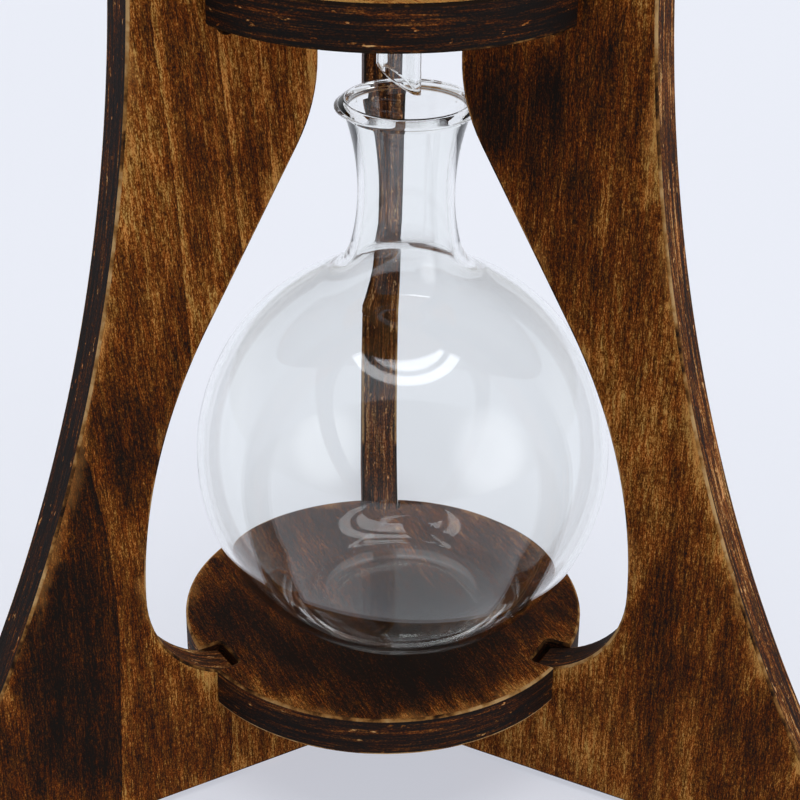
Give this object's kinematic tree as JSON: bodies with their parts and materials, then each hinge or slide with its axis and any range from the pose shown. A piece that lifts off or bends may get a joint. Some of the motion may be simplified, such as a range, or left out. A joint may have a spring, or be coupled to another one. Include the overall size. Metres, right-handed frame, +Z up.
{
  "type": "cold drip coffee tower",
  "caption": "Plywood-framed cold drip coffee tower: a lidded water globe with a stopcock over a glass coffee chamber, whose tube drips into a round serving flask.",
  "frame": {"origin": "on the tower's axis, at the surface that the foot pads stand on", "axes": "+Z up the tower; -Y is the front, midway between the two front legs; +X to the right seen from the front; the back leg points to +Y"},
  "size_m": [0.2688, 0.2327, 0.6161],
  "materials": {
    "scorched_plywood": "scorched plywood, brushed and oiled",
    "shelf_plywood": "scorched almost black, edges rubbed to tan",
    "pad_rubber": "matte",
    "silicone": "translucent silicone",
    "flask_glass": "clear",
    "chamber_glass": "clear",
    "globe_glass": "clear",
    "filter_steel": "satin",
    "key_plastic": "white fluoropolymer",
    "ring_rubber": "matte",
    "lid_plywood": "scorched plywood",
    "knob_wood": "turned and oiled",
    "screw_brass": "plain"
  },
  "bodies": {
    "frame": {"leg_back": "scorched_plywood", "leg_front_left": "scorched_plywood", "leg_front_right": "scorched_plywood", "foot_pad_back": "pad_rubber", "foot_pad_front_left": "pad_rubber", "foot_pad_front_right": "pad_rubber", "lower_shelf": "shelf_plywood", "middle_shelf": "shelf_plywood", "upper_shelf": "shelf_plywood", "chamber_seat": "silicone", "globe_seat": "silicone"},
    "flask": {"serving_flask": "flask_glass"},
    "chamber": {"coffee_chamber": "chamber_glass", "filter_screen": "filter_steel", "filter_seal": "silicone"},
    "globe": {"water_globe": "globe_glass"},
    "stopcock": {"stopcock_key": "key_plastic", "key_washer": "key_plastic", "key_o_ring": "ring_rubber", "key_nut": "key_plastic"},
    "lid": {"globe_lid": "lid_plywood", "lid_plug": "lid_plywood", "lid_seal": "silicone", "lid_knob": "knob_wood", "lid_screw": "screw_brass"}
  },
  "joints": [
    {"name": "flask_out", "type": "slide", "parent": "frame", "child": "flask", "axis": [-0.915, 0.4035, 0], "range_m": [0, 0.22]},
    {"name": "chamber_lift", "type": "slide", "parent": "frame", "child": "chamber", "axis": [0, 0, 1], "range_m": [0, 0.046]},
    {"name": "globe_lift", "type": "slide", "parent": "frame", "child": "globe", "axis": [0, 0, 1], "range_m": [0, 0.14]},
    {"name": "lid_lift", "type": "slide", "parent": "globe", "child": "lid", "axis": [0, 0, 1], "range_m": [0, 0.04]},
    {"name": "stopcock_turn", "type": "hinge", "parent": "globe", "child": "stopcock", "pos_m": [0, 0, 0.4365], "axis": [0, 1, 0], "continuous": true}
  ]
}
